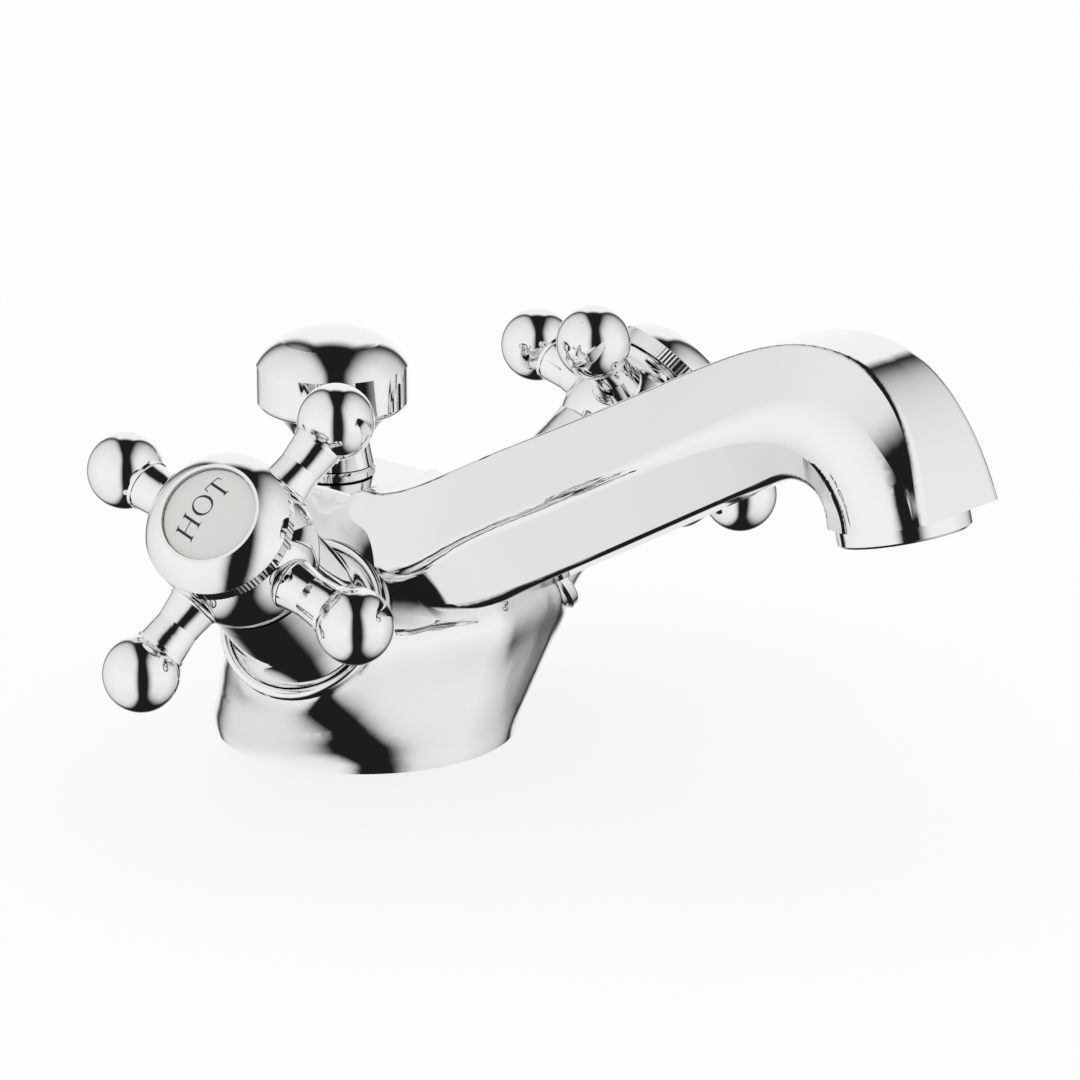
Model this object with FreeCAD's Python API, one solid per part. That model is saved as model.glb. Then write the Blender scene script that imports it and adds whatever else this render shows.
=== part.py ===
# Basin mixer tap with two cross handles and a pull-up waste knob, in millimetres.
# Z is up from the deck and the origin is the centre of the base on the deck.
# The spout reaches towards -Y, the hot side is at -X, and the cold side mirrors it.
import FreeCAD, Part
import math
import os

Vector = FreeCAD.Vector
UP = Vector(0, 0, 1)
OVERRUN = 1.0
RUNNING = 0.05

# Body rims
base_r = 28.8
foot_tuck = 0.5
foot_r = base_r - foot_tuck
foot_h = 2.6
body_top_z = 48.2
plateau_z = 48.9
plateau_half = 10.0
plateau_shoulder = 0.4
knob_y = 8.1
root_y = 6.0
front_rim_y = 25.0
front_rim_z = 27.5
front_rim_r = 5.5
front_rim_edge = 4.0
skin_height_shares = (0.13, 0.27, 0.42, 0.56, 0.70, 0.81, 0.89, 0.95, 1.0)
lean_limit_share = 12.0
facing_share = 0.2

# Base recess and gasket
gasket_edge = 2.4
gasket_w = 3.2
gasket_land = 1.7
gasket_out_r = base_r - gasket_edge
gasket_in_r = gasket_out_r - gasket_w
gasket_h = 2.0
recess_r = gasket_in_r - gasket_land
recess_h = 3.5
stud_hole_r = 3.4
stud_boss_wall = 1.6
stud_hole_h = 14.0
stud_boss_r = stud_hole_r + stud_boss_wall

# Handle axes
axis_y = -1.55
axis_z = 6.0
handle_rise_deg = 38.9
handle_toe_deg = 19.1
arm_clock_deg = -24.4

# Valve port, heights along the handle axis
seat_h = 24.0
seat_bore_r = 5.5
seat_bore_depth = 6.5
disc_r = 8.0
barrel_wall = 1.3
port_bore_r = disc_r + barrel_wall
port_depth = 14.0
spot_face_h = seat_h + port_depth
lip_depth = 2.5
lip_h = spot_face_h + lip_depth
shroud_foot_r = 14.0
shroud_room = 0.15
lip_w = 1.75
lip_overhang = 0.9
lip_bore_r = shroud_foot_r + shroud_room
lip_out_r = lip_bore_r + lip_w
boss_r = lip_out_r - lip_overhang
boss_depth = 12.0
boss_edge = 1.2

# Waterways
inlet_x = 12.6
inlet_y = 5.8
inlet_thread_r = 4.55
inlet_thread_h = 10.0
inlet_drill_r = 3.3
mix_y = 13.0
mix_z = 28.5
mix_half = 17.5
mix_r = 3.5
spout_way_r = 6.0
spout_way_bend_r = 14.0
spout_way_root_bend_r = 9.0

# Spout
spout_reach = 141.0
arch_rise = 48.3
crease_half = 17.0
under_half = 9.5
corner_cut = 10.0
outlet_back_share = 0.33
# Top edge reach and rise, underside reach and rise, the half widths at the top, at the crease
# and underneath, the crease's depth, and how far the three roundings reach from their corners
spout_shares = [
    (0.0426, 0.000, 0.0426, -0.370, 1.000, 1.212, 1.789, 0.66, 0.050, 0.200, 0.360),
    (0.0850, 0.022, 0.1500, -0.372, 0.860, 1.094, 1.432, 0.64, 0.050, 0.200, 0.360),
    (0.1420, 0.082, 0.2360, -0.362, 0.740, 1.024, 1.042, 0.57, 0.050, 0.180, 0.320),
    (0.2250, 0.213, 0.3060, -0.262, 0.680, 1.006, 0.916, 0.52, 0.050, 0.160, 0.180),
    (0.3330, 0.377, 0.4200, -0.072, 0.650, 1.000, 0.916, 0.52, 0.050, 0.160, 0.100),
    (0.4400, 0.538, 0.5250, 0.100, 0.630, 1.000, 0.916, 0.52, 0.050, 0.160, 0.090),
    (0.5460, 0.702, 0.6200, 0.257, 0.620, 1.000, 0.916, 0.52, 0.050, 0.180, 0.090),
    (0.6450, 0.853, 0.6920, 0.373, 0.620, 1.000, 0.916, 0.52, 0.050, 0.240, 0.100),
    (0.7340, 0.960, 0.7400, 0.445, 0.630, 1.000, 0.905, 0.51, 0.050, 0.360, 0.150),
    (0.8130, 1.000, 0.7720, 0.482, 0.640, 1.000, 0.884, 0.49, 0.060, 0.520, 0.230),
    (0.8800, 0.967, 0.7960, 0.472, 0.660, 1.012, 0.863, 0.45, 0.070, 0.680, 0.320),
    (0.9330, 0.863, 0.8110, 0.440, 0.720, 1.035, 0.832, 0.41, 0.080, 0.800, 0.420),
    (0.9710, 0.700, 0.8180, 0.395, 0.840, 1.065, 0.811, 0.35, 0.090, 0.880, 0.520),
    (1.0000, 0.464, 0.8190, 0.333, 1.010, 1.094, 0.789, 0.29, 0.100, 0.930, 0.600),
]

# Shroud, heights along the handle axis
shroud_h = 22.0
shroud_top_h = spot_face_h + shroud_h
shroud_waist_share = 0.432
shroud_flare_share = 0.1455
shroud_waist_h = spot_face_h + shroud_h * shroud_waist_share
shroud_flare_h = spot_face_h + shroud_h * shroud_flare_share
shroud_waist_in = 1.5
shroud_draft = 0.3
shroud_waist_r = shroud_foot_r - shroud_waist_in
shroud_top_r = shroud_waist_r - shroud_draft
shroud_wall = 1.0
shroud_lid = 1.4

# Headwork, heights along the handle axis
hex_room = 2.0
hex_step = 2.5
hex_flange_r = shroud_foot_r - hex_room
hex_flats = 2 * (hex_flange_r - hex_step)
hex_h = 5.5
hex_flange_h = 1.0
fibre_h = 1.0
fibre_room = 0.1
fibre_in_r = port_bore_r + fibre_room
neck_r = disc_r
neck_sunk = 0.5
neck_lid = 5.5
neck_top_h = shroud_top_h - neck_sunk
disc_h = 3.0
disc_port_r = 2.5
disc_port_offset = 4.3
disc_chamber_h = 12.0
disc_chamber_top_h = seat_h + disc_chamber_h
seal_h = 2.4
seal_in_r = 5.3
barrel_foot_gap = 0.6
window_r = 2.6

# Handle hub, heights along the handle axis
hub_r = 13.8
hub_gap = 0.5
hub_foot_share = 0.8043
hub_collar_share = 0.6812
hub_foot_h = shroud_top_h + hub_gap
hub_centre_h = hub_foot_h + hub_r * hub_foot_share
hub_collar_h = hub_centre_h + hub_r * hub_collar_share
hub_collar_in = 1.8
hub_collar_r = hub_r - hub_collar_in
hub_collar_w = 0.8
hub_skirt_r = 6.6
hub_skirt_h = 0.7
hub_skirt_top_h = hub_foot_h + hub_skirt_h
hub_web_rise = 2.6
hub_web_w = 2.8
hub_web_low_h = hub_centre_h + hub_web_rise
hub_web_h = hub_web_low_h + hub_web_w
arm_rise = 1.9
arm_h = hub_centre_h + arm_rise
screw_head_r = 4.2
screw_head_h = 2.4
screw_slot_w = 1.0
screw_slot_h = 1.2
screw_hole_r = 2.3
screw_well_r = 5.2

# Rim of the shroud, a cup close under the hub's bulb
rim_in_r = shroud_top_r - shroud_wall
rim_in_h = hub_centre_h - math.sqrt(hub_r ** 2 - rim_in_r ** 2) - hub_gap
rim_out_h = hub_centre_h - math.sqrt(hub_r ** 2 - shroud_top_r ** 2) - hub_gap

# Spindle
spindle_foot_h = 1.8
spindle_foot_in = 0.4
spindle_foot_r = disc_r - spindle_foot_in
tongue_w = 2.6
tongue_h = 1.0
tongue_in = 2.0
tongue_l = 2 * (disc_r - tongue_in)
spindle_barrel_r = 5.0
spindle_shoulder_h = neck_top_h - neck_lid
spindle_stem_r = 4.0
spline_lead = 1.0
spline_from_h = hub_foot_h + spline_lead
spline_teeth = 20
spline_depth = 0.4
spline_root_r = spindle_stem_r - spline_depth
spindle_end_gap = 0.6
spindle_top_h = hub_web_low_h - spindle_end_gap
oring_tube_r = 0.54
oring_drops = (11.0, 6.0)
oring_groove_depth = 1.1
oring_groove_r = spindle_barrel_r - oring_groove_depth
oring_groove_w = 1.3
circlip_h = 0.8
circlip_w = 2.0
circlip_groove_depth = 0.6
circlip_out_r = spindle_stem_r + circlip_w
circlip_groove_r = spindle_stem_r - circlip_groove_depth
circlip_gap_deg = 70.0
screw_shank_r = 2.0
screw_thread_depth = 8.0

# Ball arms, distances from the handle axis
arm_count = 4
arm_sunk = 1.0
arm_reach = 15.7
arm_waist_reach = 5.2
ball_r = 7.0
arm_seat_out = hub_r - arm_sunk
ball_out = arm_seat_out + arm_reach
arm_waist_out = arm_seat_out + arm_waist_reach
arm_flare_r = 4.9
arm_flare_w = 0.9
arm_waist_r = 4.1
arm_collar_r = 4.8
arm_collar_w = 0.7
arm_collar_step = 0.25
arm_stud_r = 2.5
arm_stud_l = 4.6
arm_sag_share = 0.28

# Index cap and disc
cap_gap = 0.2
cap_h = 7.2
cap_low_h = hub_collar_h + hub_collar_w + cap_gap
cap_top_h = cap_low_h + cap_h
cap_in = 0.2
cap_band_r = hub_r - cap_in
cap_band_h = 2.8
spigot_in = 3.2
spigot_r = cap_band_r - spigot_in
spigot_h = 2.4
knurl_count = 110
knurl_depth = 0.05
index_in = 4.8
index_rim = 0.65
index_r = cap_band_r - index_in
cap_dome_r = index_r + index_rim
index_h = 0.9
index_recess = 0.75
index_edge = 0.25
cap_shoulder_r_share = 0.58
cap_shoulder_h_share = 0.57

# Waste knob and rod
rod_r = 2.5
bush_flange_w = 3.3
bush_flange_h = 1.0
bush_wall = 2.2
bush_sleeve_r = rod_r + bush_wall
bush_flange_r = bush_sleeve_r + bush_flange_w
bush_sleeve_h = 9.0
bush_groove_h = 1.7
bush_groove_depth = 1.6
bush_groove_r = rod_r + bush_groove_depth
rod_seal_tube_r = 0.72
knob_gap = 0.3
knob_neck_r = 6.9
knob_foot_flare = 0.8
knob_under_flare = 4.7
knob_rim_w = 2.6
knob_shoulder_in = 4.6
knob_foot_r = knob_neck_r + knob_foot_flare
knob_under_r = knob_neck_r + knob_under_flare
knob_band_r = knob_under_r + knob_rim_w
knob_shoulder_r = knob_band_r - knob_shoulder_in
knob_neck_h = 4.2
knob_hood_h = 6.1
knob_rim_h = 1.7
knob_band_h = 7.05
knob_under_h = knob_neck_h + knob_hood_h
knob_band_low_h = knob_under_h + knob_rim_h
knob_band_top_h = knob_band_low_h + knob_band_h
knob_cap_h = 2.4
knob_shoulder_h = 4.6
knob_dome_h = knob_shoulder_h + knob_cap_h
knob_shoulder_bulge = 0.45
knob_sag_r_share = 0.45
knob_sag_h_share = 0.58
knob_round_r_share = 0.72
knob_round_h_share = 0.4
knob_hollow_r = rod_r + RUNNING
knob_hollow_depth = 12.0
rod_room = 0.6
rod_bore_r = rod_r + rod_room
rod_low_z = 2.0
rod_thread_r = 1.65
rod_thread_h = 8.0

# Aerator, depths along the outlet axis
socket_r = 11.45
socket_h = 8.5
collar_step = 0.55
collar_r = socket_r + collar_step
collar_h = 3.4
aerator_thread_h = 6.0
aerator_wall = 1.85
aerator_ledge_w = 1.2
aerator_bore_r = socket_r - aerator_wall
aerator_ledge_r = aerator_bore_r - aerator_ledge_w
aerator_ledge_h = 0.8
insert_hole_r = 1.15
insert_pitch = 3.1
mesh_h = 0.6
mesh_bar_w = 0.5
mesh_pitch = 2.2
aerator_gasket_lap = 1.0
gasket_ring_in_r = aerator_bore_r - aerator_gasket_lap


def cylinder(radius, low, high):
    return Part.makeCylinder(radius, high - low, Vector(0, 0, low))


def tube(outer, inner, low, high):
    return cylinder(outer, low, high).cut(cylinder(inner, low - OVERRUN, high + OVERRUN))


def turned(outline):
    """Solid turned about Z. A pair is a corner, and four values are an arc's middle and end."""
    def place(pair):
        return Vector(pair[0], 0, pair[1])
    edges = []
    here = outline[0]
    for step in outline[1:] + [outline[0]]:
        end = step[-2:]
        if len(step) == 4:
            edges.append(Part.Arc(place(here), place(step[:2]), place(end)).toShape())
        elif place(here).distanceToPoint(place(end)) > 0:
            edges.append(Part.makeLine(place(here), place(end)))
        here = end
    return Part.Face(Part.Wire(edges)).revolve(Vector(0, 0, 0), UP, 360)


def ring_at(ring_r, tube_r, height):
    return Part.makeTorus(ring_r, tube_r, Vector(0, 0, height))


def star_prism(tip_r, root_r, count, low, high):
    """Prism with a toothed outline, for a spline or a knurl."""
    points = []
    for index in range(2 * count + 1):
        angle = math.pi * index / count
        radius = root_r if index % 2 else tip_r
        points.append(Vector(radius * math.cos(angle), radius * math.sin(angle), low))
    return Part.Face(Part.makePolygon(points)).extrude(Vector(0, 0, high - low))


def moved(shape, placement):
    placed = shape.copy()
    placed.Placement = placement.multiply(shape.Placement)
    return placed


def handle_axes():
    rise = math.radians(handle_rise_deg)
    toe = math.radians(handle_toe_deg)
    out = Vector(-math.cos(rise) * math.cos(toe), -math.cos(rise) * math.sin(toe), math.sin(rise))
    across = Vector(math.sin(toe), -math.cos(toe), 0)
    return across, out.cross(across), out


def on_handle(shape):
    """Move a piece made about Z onto the hot handle's axis."""
    across, along, out = handle_axes()
    turn = FreeCAD.Matrix(across.x, along.x, out.x, 0, across.y, along.y, out.y, axis_y,
                          across.z, along.z, out.z, axis_z, 0, 0, 0, 1)
    return moved(shape, FreeCAD.Placement(turn))


def mirrored(shape):
    return shape.mirror(Vector(0, 0, 0), Vector(1, 0, 0))


def rims():
    """The circles that the body's skin is drawn tight over: centre, normal, radius, rounding."""
    out = handle_axes()[2]
    port = Vector(0, axis_y, axis_z) + out * (spot_face_h - boss_edge / 2)
    flat_r = boss_r - boss_edge
    top_r = plateau_half + plateau_shoulder
    return [
        (Vector(0, 0, foot_h), UP, base_r, 0),
        (port, out, flat_r, boss_edge),
        (Vector(-port.x, port.y, port.z), Vector(-out.x, out.y, out.z), flat_r, boss_edge),
        (Vector(0, knob_y, body_top_z), UP, top_r, 0),
        (Vector(0, -root_y, body_top_z), UP, top_r, 0),
        (Vector(0, -front_rim_y, front_rim_z), UP, front_rim_r, front_rim_edge),
    ]


def skin_reach(circles, heading, height):
    """How far the tight skin reaches along a heading at a height."""
    def span(lean):
        way = Vector(math.cos(heading), math.sin(heading), lean)
        reaches = []
        for centre, normal, radius, rounding in circles:
            flat = math.sqrt(max(way.Length ** 2 - way.dot(normal) ** 2, 0))
            reaches.append(centre.dot(way) + radius * flat + rounding * way.Length)
        return max(reaches) - lean * height
    low, high = -lean_limit_share, lean_limit_share
    for _ in range(40):
        left = (2 * low + high) / 3
        right = (low + 2 * high) / 3
        if span(left) < span(right):
            high = right
        else:
            low = left
    return span((low + high) / 2)


def skin_section(circles, height, count=72):
    """Closed smooth outline of the tight skin at a height."""
    headings = [2 * math.pi * index / (2 * count) for index in range(2 * count)]
    reach = [skin_reach(circles, heading, height) for heading in headings]
    points = []
    for index in range(count):
        angle = headings[2 * index]
        near = [(h, r) for h, r in zip(headings, reach) if math.cos(h - angle) > facing_share]
        radius = min(r / math.cos(h - angle) for h, r in near)
        points.append(Vector(radius * math.cos(angle), radius * math.sin(angle), height))
    return smooth_loop(points)


def smooth_loop(points):
    curve = Part.BSplineCurve()
    curve.interpolate(points, True)
    return Part.Wire(curve.toShape())


def circle_loop(radius, height, count=72):
    angles = [2 * math.pi * index / count for index in range(count)]
    return smooth_loop([Vector(radius * math.cos(a), radius * math.sin(a), height) for a in angles])


def body_skin():
    """The casting's outer form below the plateau."""
    circles = rims()
    loops = [circle_loop(foot_r, 0), circle_loop(base_r, foot_h)]
    loops += [skin_section(circles, share * body_top_z) for share in skin_height_shares]
    return Part.makeLoft(loops, True, False)


def spout_places(row):
    top_y, top_rise, under_y, under_rise = row[:4]
    top = Vector(0, -top_y * spout_reach, plateau_z + top_rise * arch_rise)
    under = Vector(0, -under_y * spout_reach, plateau_z + under_rise * arch_rise)
    return top, under


def rounding(corner, before, after, cut):
    """Curve that rounds a corner like an arc, starting a set distance from it."""
    back = (before - corner).normalize()
    ahead = (after - corner).normalize()
    turn = math.pi - back.getAngle(ahead)
    pull = 4.0 / 3.0 * math.tan(turn / 4) / math.tan(turn / 2)
    start = corner + back * cut
    end = corner + ahead * cut
    curve = Part.BezierCurve()
    curve.setPoles([start, start + (corner - start) * pull, end + (corner - end) * pull, end])
    return curve.toShape(), start, end


def spout_section(row):
    """Flat top, sloping flanks that meet in a soft crease, and a flat underside."""
    top, under = spout_places(row)
    top_w, crease_w, under_w = row[4] * plateau_half, row[5] * crease_half, row[6] * under_half
    crease_share = row[7]
    cuts = [share * corner_cut for share in row[8:]]
    down = (under - top).normalize()
    depth = top.distanceToPoint(under)

    def place(across, below):
        return top + Vector(across, 0, 0) + down * below
    corners = [place(top_w, 0), place(crease_w, depth * crease_share), place(under_w, depth),
               place(-under_w, depth), place(-crease_w, depth * crease_share), place(-top_w, 0)]
    edges = []
    first = here = None
    for index, cut in enumerate(cuts + cuts[::-1]):
        bend, start, end = rounding(corners[index], corners[index - 1], corners[(index + 1) % 6], cut)
        if here is None:
            first = start
        else:
            edges.append(Part.makeLine(here, start))
        edges.append(bend)
        here = end
    edges.append(Part.makeLine(here, first))
    return Part.Wire(edges)


def spout_skin():
    return Part.makeLoft([spout_section(row) for row in spout_shares], True, False)


def plateau():
    """Flat top round the knob, cut back straight where the spout's section starts."""
    low = body_top_z - boss_depth
    slab = cylinder(plateau_half, low, plateau_z)
    slab.translate(Vector(0, knob_y, 0))
    length = knob_y + root_y
    bar = Part.makeBox(2 * plateau_half, length, plateau_z - low, Vector(-plateau_half, -root_y, low))
    return slab.fuse(bar).removeSplitter()


def outlet():
    """Centre of the spout's mouth and the way the water leaves."""
    top, under = spout_places(spout_shares[-1])
    slope = (top - under).normalize()
    leave = Vector(0, slope.z, -slope.y)
    if leave.z > 0:
        leave = leave * -1
    spare = top.distanceToPoint(under) - 2 * collar_r
    return under + slope * (collar_r + spare * outlet_back_share), leave


def on_outlet(shape):
    """Move a piece made about Z, with Z up into the spout, onto the outlet's axis."""
    centre, leave = outlet()
    return moved(shape, FreeCAD.Placement(centre, FreeCAD.Rotation(UP, leave * -1)))


def bent_path(points, radii):
    """Straight runs joined by tangent arcs."""
    edges = []
    here = points[0]
    for before, corner, after, radius in zip(points, points[1:], points[2:], radii):
        back = (before - corner).normalize()
        ahead = (after - corner).normalize()
        half = back.getAngle(ahead) / 2
        tangent = radius / math.tan(half)
        start = corner + back * tangent
        end = corner + ahead * tangent
        bisector = (back + ahead).normalize()
        middle = corner + bisector * (radius / math.sin(half) - radius)
        edges.append(Part.makeLine(here, start))
        edges.append(Part.Arc(start, middle, end).toShape())
        here = end
    edges.append(Part.makeLine(here, points[-1]))
    return Part.Wire(edges)


def spout_waterway():
    """Round passage from the mixing bore to the aerator socket."""
    centre, leave = outlet()
    low_row, high_row = spout_shares[4], spout_shares[6]
    low_top, low_under = spout_places(low_row)
    high_top, high_under = spout_places(high_row)
    low_mid = (low_top + low_under) * 0.5
    arm = ((high_top + high_under) * 0.5 - low_mid).normalize()
    start = Vector(0, -mix_y, mix_z)
    rise = low_mid.z + arm.z * (start.y - low_mid.y) / arm.y
    knee = Vector(0, -mix_y, rise)
    run = leave * -1
    cross = arm.y * run.z - arm.z * run.y
    gap = low_mid - centre
    along = (arm.y * gap.z - arm.z * gap.y) / cross
    crown = centre + run * along
    end = centre + run * (socket_h - OVERRUN)
    path = bent_path([start, knee, crown, end], [spout_way_root_bend_r, spout_way_bend_r])
    circle = Part.Wire(Part.makeCircle(spout_way_r, start, knee - start))
    way = path.makePipeShell([circle], True, False)
    return way.fuse(Part.makeSphere(spout_way_r, start))


def valve_port():
    """Bores for one headwork, about Z."""
    cutter = cylinder(port_bore_r, seat_h, spot_face_h + OVERRUN)
    cutter = cutter.fuse(cylinder(seat_bore_r, seat_h - seat_bore_depth, seat_h + OVERRUN))
    return cutter.fuse(cylinder(lip_bore_r, spot_face_h, lip_h + OVERRUN))


def valve_boss():
    """Boss and rounded lip round one shroud, about Z."""
    half_w = (lip_out_r - lip_bore_r) / 2
    mid_r = lip_bore_r + half_w
    crown = lip_h - half_w
    return turned([
        (0, spot_face_h - boss_depth), (boss_r - boss_edge, spot_face_h - boss_depth),
        (boss_r, spot_face_h), (lip_out_r, spot_face_h + boss_edge / 2), (lip_out_r, crown),
        (mid_r, lip_h, lip_bore_r, crown), (0, crown),
    ])


def inlet_bores():
    thread = cylinder(inlet_thread_r, 0, recess_h + inlet_thread_h)
    out = handle_axes()[2]
    meet = Vector(0, axis_y, axis_z) + out * (seat_h - seat_bore_depth / 2)
    drill = cylinder(inlet_drill_r, 0, meet.z)
    both = thread.fuse(drill)
    both.translate(Vector(-inlet_x, -inlet_y, 0))
    return both


def body_casting():
    body = body_skin().fuse([plateau(), spout_skin()])
    boss = on_handle(valve_boss())
    body = body.fuse([boss, mirrored(boss)]).removeSplitter()
    cutters = []
    port = on_handle(valve_port())
    inlet = inlet_bores()
    for bore in (port, inlet):
        cutters += [bore, mirrored(bore)]
    mixing = Part.makeCylinder(mix_r, 2 * mix_half, Vector(-mix_half, -mix_y, mix_z), Vector(1, 0, 0))
    cutters += [mixing, spout_waterway(), on_outlet(cylinder(socket_r, -OVERRUN, socket_h))]
    cutters.append(tube(recess_r, stud_boss_r, -OVERRUN, recess_h))
    cutters.append(tube(gasket_out_r, gasket_in_r, -OVERRUN, gasket_h))
    cutters.append(cylinder(stud_hole_r, -OVERRUN, stud_hole_h))
    rod_bore = cylinder(rod_bore_r, -OVERRUN, plateau_z + OVERRUN)
    bush_bore = cylinder(bush_sleeve_r, plateau_z - bush_sleeve_h, plateau_z + OVERRUN)
    rod_way = rod_bore.fuse(bush_bore)
    rod_way.translate(Vector(0, knob_y, 0))
    cutters.append(rod_way)
    return body.cut(cutters)


def base_gasket():
    return tube(gasket_out_r, gasket_in_r, 0, gasket_h)


def shroud():
    """Bell that hides the headwork, open below, with a lid round its neck and a cup for the hub."""
    flare_low = shroud_flare_h - shroud_wall
    flare_drop = shroud_waist_h - flare_low
    flare_out = shroud_foot_r - shroud_waist_r
    flare_r = (flare_out ** 2 + flare_drop ** 2) / (2 * flare_out)
    half = math.asin(flare_drop / flare_r) / 2
    flare_mid_r = shroud_waist_r + flare_r * (1 - math.cos(half))
    flare_mid_h = shroud_waist_h - flare_r * math.sin(half)

    def wall(inset):
        return [
            (0, spot_face_h), (shroud_foot_r - inset, spot_face_h),
            (shroud_foot_r - inset, flare_low),
            (flare_mid_r - inset, flare_mid_h, shroud_waist_r - inset, shroud_waist_h),
        ]
    outside = turned(wall(0) + [
        (shroud_top_r, shroud_top_h), (shroud_top_r, rim_out_h), (rim_in_r, rim_in_h),
        (rim_in_r, shroud_top_h), (0, shroud_top_h),
    ])
    inside = turned(wall(shroud_wall) + [
        (rim_in_r, shroud_top_h - shroud_lid), (0, shroud_top_h - shroud_lid),
    ])
    neck_hole = cylinder(neck_r + RUNNING, shroud_top_h - shroud_lid - OVERRUN, shroud_top_h + OVERRUN)
    return outside.cut(inside).cut(neck_hole)


def headwork_body():
    """Brass cartridge body: barrel, hexagon on its flange, and neck."""
    hex_low = spot_face_h + fibre_h
    corner_r = hex_flats / 2 / math.cos(math.pi / 6)
    points = [Vector(corner_r * math.cos(k * math.pi / 3), corner_r * math.sin(k * math.pi / 3), hex_low)
              for k in range(7)]
    hexagon = Part.Face(Part.makePolygon(points)).extrude(Vector(0, 0, hex_h))
    barrel_r = port_bore_r - RUNNING
    solid = cylinder(barrel_r, seat_h + barrel_foot_gap, hex_low + hex_h)
    flange = cylinder(hex_flange_r, hex_low, hex_low + hex_flange_h)
    solid = solid.fuse([hexagon, flange, cylinder(neck_r, hex_low, neck_top_h)])
    solid = solid.cut([
        cylinder(disc_r + RUNNING, seat_h, disc_chamber_top_h),
        cylinder(spindle_barrel_r + RUNNING, disc_chamber_top_h - OVERRUN, spindle_shoulder_h + RUNNING),
        cylinder(spindle_stem_r + RUNNING, spindle_shoulder_h, neck_top_h + OVERRUN),
    ])
    window_h = moving_disc_low() + disc_h / 2
    window = Part.makeCylinder(window_r, 4 * port_bore_r, Vector(0, -2 * port_bore_r, window_h), Vector(0, 1, 0))
    return solid.cut(window)


def fixed_disc_low():
    return seat_h + seal_h


def moving_disc_low():
    return fixed_disc_low() + disc_h + RUNNING


def seat_seal():
    return tube(disc_r, seal_in_r, seat_h, seat_h + seal_h)


def fibre_washer():
    return tube(hex_flange_r, fibre_in_r, spot_face_h, spot_face_h + fibre_h)


def ceramic_disc(low, slotted):
    """Ceramic disc with two water ports, the moving one with a slot for the spindle's tongue."""
    disc = cylinder(disc_r - RUNNING, low, low + disc_h)
    for sign in (-1, 1):
        port = cylinder(disc_port_r, low - OVERRUN, low + disc_h + OVERRUN)
        port.translate(Vector(0, sign * disc_port_offset, 0))
        disc = disc.cut(port)
    if slotted:
        slot = Part.makeBox(4 * disc_r, tongue_w + 2 * RUNNING, tongue_h + OVERRUN,
                            Vector(-2 * disc_r, -tongue_w / 2 - RUNNING, low + disc_h - tongue_h - RUNNING))
        disc = disc.cut(slot)
    return disc


def spindle():
    foot_low = moving_disc_low() + disc_h
    foot_high = foot_low + spindle_foot_h
    solid = cylinder(spindle_foot_r, foot_low, foot_high)
    tongue = Part.makeBox(tongue_l, tongue_w, tongue_h + spindle_foot_h / 2,
                          Vector(-tongue_l / 2, -tongue_w / 2, foot_low - tongue_h))
    barrel = cylinder(spindle_barrel_r, foot_low, spindle_shoulder_h)
    stem = cylinder(spindle_stem_r, foot_low, spline_from_h)
    splines = star_prism(spindle_stem_r, spline_root_r, spline_teeth, spline_from_h, spindle_top_h)
    solid = solid.fuse([tongue, barrel, stem, splines])
    for height in oring_heights():
        low = height - oring_groove_w / 2
        solid = solid.cut(tube(spindle_barrel_r + OVERRUN, oring_groove_r, low, low + oring_groove_w))
    clip_low = neck_top_h + RUNNING
    solid = solid.cut(tube(spindle_stem_r + OVERRUN, circlip_groove_r, clip_low, clip_low + circlip_h))
    return solid.cut(cylinder(screw_shank_r + RUNNING, spindle_top_h - screw_thread_depth,
                              spindle_top_h + OVERRUN))


def oring_heights():
    return [spindle_shoulder_h - drop for drop in oring_drops]


def spindle_seals():
    ring_r = oring_groove_r + oring_tube_r
    return Part.makeCompound([ring_at(ring_r, oring_tube_r, height) for height in oring_heights()])


def circlip():
    low = neck_top_h + RUNNING
    ring = tube(circlip_out_r, circlip_groove_r + RUNNING, low, low + circlip_h - RUNNING)
    reach = 2 * circlip_out_r
    half = math.radians(circlip_gap_deg / 2)
    tip_x, tip_y = reach * math.cos(half), reach * math.sin(half)
    wedge = Part.Face(Part.makePolygon([
        Vector(0, 0, low - OVERRUN), Vector(tip_x, -tip_y, low - OVERRUN),
        Vector(tip_x, tip_y, low - OVERRUN), Vector(0, 0, low - OVERRUN),
    ])).extrude(Vector(0, 0, circlip_h + 2 * OVERRUN))
    return ring.cut(wedge)


def arm_angles():
    return [arm_clock_deg + 360.0 * index / arm_count for index in range(arm_count)]


def on_arm(shape, angle):
    """Lay a piece made about Z along one arm, out from the handle's axis."""
    turn = FreeCAD.Rotation(UP, angle).multiply(FreeCAD.Rotation(Vector(0, 1, 0), 90))
    return moved(shape, FreeCAD.Placement(Vector(0, 0, arm_h), turn))


def ball_arm():
    """Turned arm with its ball and a threaded stud, out along Z."""
    flare_top = arm_seat_out + arm_flare_w
    ball_meet = ball_out - math.sqrt(ball_r ** 2 - arm_collar_r ** 2)
    collar_low = ball_meet - arm_collar_w
    neck_r_top = arm_collar_r - arm_collar_step
    quarter_in = (flare_top + arm_waist_out) / 2
    quarter_out = (arm_waist_out + collar_low) / 2
    sag_r = arm_waist_r + (arm_flare_r - arm_waist_r) * arm_sag_share
    return turned([
        (0, arm_seat_out - arm_stud_l), (arm_stud_r, arm_seat_out - arm_stud_l),
        (arm_stud_r, arm_seat_out), (arm_flare_r - arm_collar_step, arm_seat_out),
        (arm_flare_r, (arm_seat_out + flare_top) / 2, arm_flare_r - arm_collar_step, flare_top),
        (sag_r, quarter_in, arm_waist_r, arm_waist_out),
        (sag_r, quarter_out, neck_r_top, collar_low),
        (arm_collar_r, collar_low), (arm_collar_r, ball_meet),
        (ball_r, ball_out, 0, ball_out + ball_r),
    ])


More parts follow.
